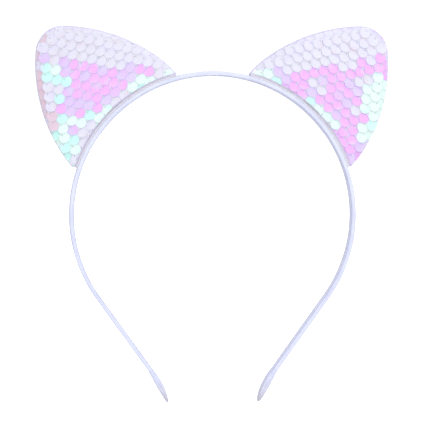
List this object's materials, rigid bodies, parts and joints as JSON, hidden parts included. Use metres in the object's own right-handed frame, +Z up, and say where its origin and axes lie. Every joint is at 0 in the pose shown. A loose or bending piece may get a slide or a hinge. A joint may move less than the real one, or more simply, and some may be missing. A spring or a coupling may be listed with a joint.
{
  "type": "animal ears headband",
  "caption": "Springy ribbon-covered headband carrying two rounded padded animal ears faced with flip sequins.",
  "frame": {"origin": "centre of the overall box to within a millimetre: wearer's middle plane, centre of the hoop's round part, half-way through the band's width", "axes": "+Z up to the crown, -Y to the front where the sequins face, +X to the right of a viewer in front"},
  "size_m": [0.1644, 0.0095, 0.1756],
  "materials": {
    "hoop_core": "matt moulded plastic",
    "satin_ribbon": "satin ribbon, soft sheen",
    "lining_ribbon": "ribbed ribbon, matt",
    "tip_cap": "folded satin ribbon",
    "ear_foam": "open foam",
    "sequin_backing": "fine knit",
    "back_cloth": "felt",
    "piping": "woven",
    "base_tape": "woven tape",
    "glue": "cured hot glue",
    "thread": "fine thread",
    "sequin": "iridescent film"
  },
  "bodies": {
    "crown": {"crown_core": "hoop_core", "crown_satin_wrap": "satin_ribbon", "crown_lining": "lining_ribbon", "left_foam_pad": "ear_foam", "left_front_cloth": "sequin_backing", "left_back_cloth": "back_cloth", "left_edge_piping": "piping", "left_base_tape": "base_tape", "left_glue_bead": "glue", "left_sequin_threads": "thread", "right_foam_pad": "ear_foam", "right_front_cloth": "sequin_backing", "right_back_cloth": "back_cloth", "right_edge_piping": "piping", "right_base_tape": "base_tape", "right_glue_bead": "glue", "right_sequin_threads": "thread"},
    "left_arm": {"left_arm_core": "hoop_core", "left_arm_satin_wrap": "satin_ribbon", "left_arm_lining": "lining_ribbon", "left_tip_cap": "tip_cap"},
    "right_arm": {"right_arm_core": "hoop_core", "right_arm_satin_wrap": "satin_ribbon", "right_arm_lining": "lining_ribbon", "right_tip_cap": "tip_cap"},
    "left_sequin_row_11": {"left_sequin_row_11": "sequin"},
    "left_sequin_row_01": {"left_sequin_row_01": "sequin"},
    "left_sequin_row_02": {"left_sequin_row_02": "sequin"},
    "left_sequin_row_03": {"left_sequin_row_03": "sequin"},
    "left_sequin_row_04": {"left_sequin_row_04": "sequin"},
    "left_sequin_row_05": {"left_sequin_row_05": "sequin"},
    "left_sequin_row_06": {"left_sequin_row_06": "sequin"},
    "left_sequin_row_07": {"left_sequin_row_07": "sequin"},
    "left_sequin_row_08": {"left_sequin_row_08": "sequin"},
    "left_sequin_row_09": {"left_sequin_row_09": "sequin"},
    "left_sequin_row_10": {"left_sequin_row_10": "sequin"},
    "left_sequin_row_12": {"left_sequin_row_12": "sequin"},
    "left_sequin_row_13": {"left_sequin_row_13": "sequin"},
    "left_sequin_row_14": {"left_sequin_row_14": "sequin"},
    "right_sequin_row_11": {"right_sequin_row_11": "sequin"},
    "right_sequin_row_01": {"right_sequin_row_01": "sequin"},
    "right_sequin_row_02": {"right_sequin_row_02": "sequin"},
    "right_sequin_row_03": {"right_sequin_row_03": "sequin"},
    "right_sequin_row_04": {"right_sequin_row_04": "sequin"},
    "right_sequin_row_05": {"right_sequin_row_05": "sequin"},
    "right_sequin_row_06": {"right_sequin_row_06": "sequin"},
    "right_sequin_row_07": {"right_sequin_row_07": "sequin"},
    "right_sequin_row_08": {"right_sequin_row_08": "sequin"},
    "right_sequin_row_09": {"right_sequin_row_09": "sequin"},
    "right_sequin_row_10": {"right_sequin_row_10": "sequin"},
    "right_sequin_row_12": {"right_sequin_row_12": "sequin"},
    "right_sequin_row_13": {"right_sequin_row_13": "sequin"},
    "right_sequin_row_14": {"right_sequin_row_14": "sequin"}
  },
  "joints": [
    {"name": "left_arm_flex", "type": "hinge", "parent": "crown", "child": "left_arm", "pos_m": [-0.0658, 0, 0], "axis": [0, 1, 0], "range_deg": [-4, 20], "stiffness_Nm_per_rad": 0.7},
    {"name": "right_arm_flex", "type": "hinge", "parent": "crown", "child": "right_arm", "pos_m": [0.0658, 0, 0], "axis": [0, -1, 0], "range_deg": [-4, 20], "stiffness_Nm_per_rad": 0.7},
    {"name": "left_sequins_flip", "type": "hinge", "parent": "crown", "child": "left_sequin_row_11", "pos_m": [-0.05136, -0.00405, 0.05536], "axis": [-0.7385, 0, -0.6743], "range_deg": [0, 160]},
    {"name": "left_row_01_flip", "type": "hinge", "parent": "crown", "child": "left_sequin_row_01", "pos_m": [-0.07613, -0.0029, 0.0825], "axis": [-0.7385, 0, -0.6743], "range_deg": [0, 160]},
    {"name": "left_row_02_flip", "type": "hinge", "parent": "crown", "child": "left_sequin_row_02", "pos_m": [-0.07366, -0.00327, 0.07979], "axis": [-0.7385, 0, -0.6743], "range_deg": [0, 160]},
    {"name": "left_row_03_flip", "type": "hinge", "parent": "crown", "child": "left_sequin_row_03", "pos_m": [-0.07119, -0.00359, 0.07708], "axis": [-0.7385, 0, -0.6743], "range_deg": [0, 160]},
    {"name": "left_row_04_flip", "type": "hinge", "parent": "crown", "child": "left_sequin_row_04", "pos_m": [-0.06872, -0.00384, 0.07437], "axis": [-0.7385, 0, -0.6743], "range_deg": [0, 160]},
    {"name": "left_row_05_flip", "type": "hinge", "parent": "crown", "child": "left_sequin_row_05", "pos_m": [-0.06624, -0.00405, 0.07166], "axis": [-0.7385, 0, -0.6743], "range_deg": [0, 160]},
    {"name": "left_row_06_flip", "type": "hinge", "parent": "crown", "child": "left_sequin_row_06", "pos_m": [-0.06376, -0.00419, 0.06894], "axis": [-0.7385, 0, -0.6743], "range_deg": [0, 160]},
    {"name": "left_row_07_flip", "type": "hinge", "parent": "crown", "child": "left_sequin_row_07", "pos_m": [-0.06128, -0.00428, 0.06623], "axis": [-0.7385, 0, -0.6743], "range_deg": [0, 160]},
    {"name": "left_row_08_flip", "type": "hinge", "parent": "crown", "child": "left_sequin_row_08", "pos_m": [-0.0588, -0.00431, 0.06351], "axis": [-0.7385, 0, -0.6743], "range_deg": [0, 160]},
    {"name": "left_row_09_flip", "type": "hinge", "parent": "crown", "child": "left_sequin_row_09", "pos_m": [-0.05632, -0.00428, 0.06079], "axis": [-0.7385, 0, -0.6743], "range_deg": [0, 160]},
    {"name": "left_row_10_flip", "type": "hinge", "parent": "crown", "child": "left_sequin_row_10", "pos_m": [-0.05384, -0.0042, 0.05808], "axis": [-0.7385, 0, -0.6743], "range_deg": [0, 160]},
    {"name": "left_row_12_flip", "type": "hinge", "parent": "crown", "child": "left_sequin_row_12", "pos_m": [-0.04888, -0.00386, 0.05265], "axis": [-0.7385, 0, -0.6743], "range_deg": [0, 160]},
    {"name": "left_row_13_flip", "type": "hinge", "parent": "crown", "child": "left_sequin_row_13", "pos_m": [-0.0464, -0.0036, 0.04994], "axis": [-0.7385, 0, -0.6743], "range_deg": [0, 160]},
    {"name": "left_row_14_flip", "type": "hinge", "parent": "crown", "child": "left_sequin_row_14", "pos_m": [-0.04393, -0.00329, 0.04723], "axis": [-0.7385, 0, -0.6743], "range_deg": [0, 160]},
    {"name": "right_sequins_flip", "type": "hinge", "parent": "crown", "child": "right_sequin_row_11", "pos_m": [0.05136, -0.00405, 0.05536], "axis": [-0.7385, 0, 0.6743], "range_deg": [0, 160]},
    {"name": "right_row_01_flip", "type": "hinge", "parent": "crown", "child": "right_sequin_row_01", "pos_m": [0.07613, -0.0029, 0.0825], "axis": [-0.7385, 0, 0.6743], "range_deg": [0, 160]},
    {"name": "right_row_02_flip", "type": "hinge", "parent": "crown", "child": "right_sequin_row_02", "pos_m": [0.07366, -0.00327, 0.07979], "axis": [-0.7385, 0, 0.6743], "range_deg": [0, 160]},
    {"name": "right_row_03_flip", "type": "hinge", "parent": "crown", "child": "right_sequin_row_03", "pos_m": [0.07119, -0.00359, 0.07708], "axis": [-0.7385, 0, 0.6743], "range_deg": [0, 160]},
    {"name": "right_row_04_flip", "type": "hinge", "parent": "crown", "child": "right_sequin_row_04", "pos_m": [0.06872, -0.00384, 0.07437], "axis": [-0.7385, 0, 0.6743], "range_deg": [0, 160]},
    {"name": "right_row_05_flip", "type": "hinge", "parent": "crown", "child": "right_sequin_row_05", "pos_m": [0.06624, -0.00405, 0.07166], "axis": [-0.7385, 0, 0.6743], "range_deg": [0, 160]},
    {"name": "right_row_06_flip", "type": "hinge", "parent": "crown", "child": "right_sequin_row_06", "pos_m": [0.06376, -0.00419, 0.06894], "axis": [-0.7385, 0, 0.6743], "range_deg": [0, 160]},
    {"name": "right_row_07_flip", "type": "hinge", "parent": "crown", "child": "right_sequin_row_07", "pos_m": [0.06128, -0.00428, 0.06623], "axis": [-0.7385, 0, 0.6743], "range_deg": [0, 160]},
    {"name": "right_row_08_flip", "type": "hinge", "parent": "crown", "child": "right_sequin_row_08", "pos_m": [0.0588, -0.00431, 0.06351], "axis": [-0.7385, 0, 0.6743], "range_deg": [0, 160]},
    {"name": "right_row_09_flip", "type": "hinge", "parent": "crown", "child": "right_sequin_row_09", "pos_m": [0.05632, -0.00428, 0.06079], "axis": [-0.7385, 0, 0.6743], "range_deg": [0, 160]},
    {"name": "right_row_10_flip", "type": "hinge", "parent": "crown", "child": "right_sequin_row_10", "pos_m": [0.05384, -0.0042, 0.05808], "axis": [-0.7385, 0, 0.6743], "range_deg": [0, 160]},
    {"name": "right_row_12_flip", "type": "hinge", "parent": "crown", "child": "right_sequin_row_12", "pos_m": [0.04888, -0.00386, 0.05265], "axis": [-0.7385, 0, 0.6743], "range_deg": [0, 160]},
    {"name": "right_row_13_flip", "type": "hinge", "parent": "crown", "child": "right_sequin_row_13", "pos_m": [0.0464, -0.0036, 0.04994], "axis": [-0.7385, 0, 0.6743], "range_deg": [0, 160]},
    {"name": "right_row_14_flip", "type": "hinge", "parent": "crown", "child": "right_sequin_row_14", "pos_m": [0.04393, -0.00329, 0.04723], "axis": [-0.7385, 0, 0.6743], "range_deg": [0, 160]}
  ],
  "couplings": [
    {"joint": "left_row_01_flip", "follows": "left_sequins_flip", "ratio": 1},
    {"joint": "left_row_02_flip", "follows": "left_sequins_flip", "ratio": 1},
    {"joint": "left_row_03_flip", "follows": "left_sequins_flip", "ratio": 1},
    {"joint": "left_row_04_flip", "follows": "left_sequins_flip", "ratio": 1},
    {"joint": "left_row_05_flip", "follows": "left_sequins_flip", "ratio": 1},
    {"joint": "left_row_06_flip", "follows": "left_sequins_flip", "ratio": 1},
    {"joint": "left_row_07_flip", "follows": "left_sequins_flip", "ratio": 1},
    {"joint": "left_row_08_flip", "follows": "left_sequins_flip", "ratio": 1},
    {"joint": "left_row_09_flip", "follows": "left_sequins_flip", "ratio": 1},
    {"joint": "left_row_10_flip", "follows": "left_sequins_flip", "ratio": 1},
    {"joint": "left_row_12_flip", "follows": "left_sequins_flip", "ratio": 1},
    {"joint": "left_row_13_flip", "follows": "left_sequins_flip", "ratio": 1},
    {"joint": "left_row_14_flip", "follows": "left_sequins_flip", "ratio": 1},
    {"joint": "right_row_01_flip", "follows": "right_sequins_flip", "ratio": 1},
    {"joint": "right_row_02_flip", "follows": "right_sequins_flip", "ratio": 1},
    {"joint": "right_row_03_flip", "follows": "right_sequins_flip", "ratio": 1},
    {"joint": "right_row_04_flip", "follows": "right_sequins_flip", "ratio": 1},
    {"joint": "right_row_05_flip", "follows": "right_sequins_flip", "ratio": 1},
    {"joint": "right_row_06_flip", "follows": "right_sequins_flip", "ratio": 1},
    {"joint": "right_row_07_flip", "follows": "right_sequins_flip", "ratio": 1},
    {"joint": "right_row_08_flip", "follows": "right_sequins_flip", "ratio": 1},
    {"joint": "right_row_09_flip", "follows": "right_sequins_flip", "ratio": 1},
    {"joint": "right_row_10_flip", "follows": "right_sequins_flip", "ratio": 1},
    {"joint": "right_row_12_flip", "follows": "right_sequins_flip", "ratio": 1},
    {"joint": "right_row_13_flip", "follows": "right_sequins_flip", "ratio": 1},
    {"joint": "right_row_14_flip", "follows": "right_sequins_flip", "ratio": 1}
  ]
}
